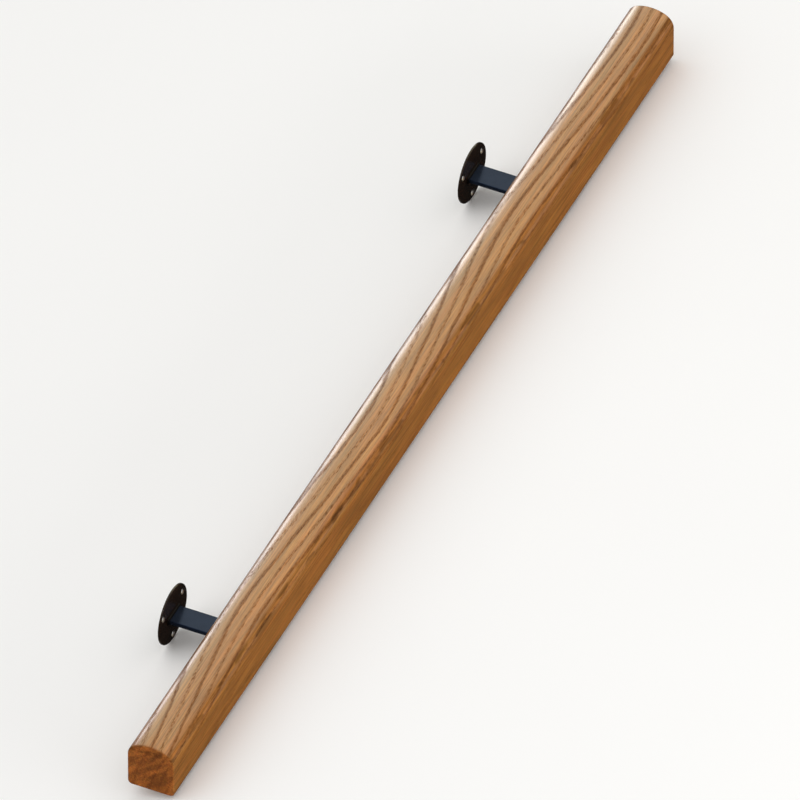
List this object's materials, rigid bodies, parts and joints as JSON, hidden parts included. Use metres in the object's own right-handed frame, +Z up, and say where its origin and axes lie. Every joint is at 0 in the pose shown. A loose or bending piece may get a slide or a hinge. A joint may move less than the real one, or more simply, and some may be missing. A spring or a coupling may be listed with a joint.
{
  "type": "stair handrail with wall brackets",
  "caption": "Straight oak stair handrail with a flat underside and a rounded top, carried off the wall on black steel brackets of flat bar and round plate.",
  "frame": {"origin": "on the floor, under the middle of the box that holds the rail and its brackets as they lie", "axes": "+X along the rail, +Y to the wall side, where the round plates are, +Z up. As it lies, the rail and its brackets lean 15.5 degrees forward from how they hang on a wall"},
  "size_m": [1.2, 0.1325, 0.0681],
  "materials": {
    "oak": "satin lacquer over oak",
    "black_coating": "semi-gloss black coating on mild steel",
    "screw_steel": "zinc-plated steel"
  },
  "bodies": {
    "root": {"oak_rail": "oak", "left_wall_flange": "black_coating", "left_support_bar": "black_coating", "left_weld": "black_coating", "left_back_screw": "screw_steel", "left_front_screw": "screw_steel", "right_wall_flange": "black_coating", "right_support_bar": "black_coating", "right_weld": "black_coating", "right_back_screw": "screw_steel", "right_front_screw": "screw_steel"}
  },
  "joints": []
}
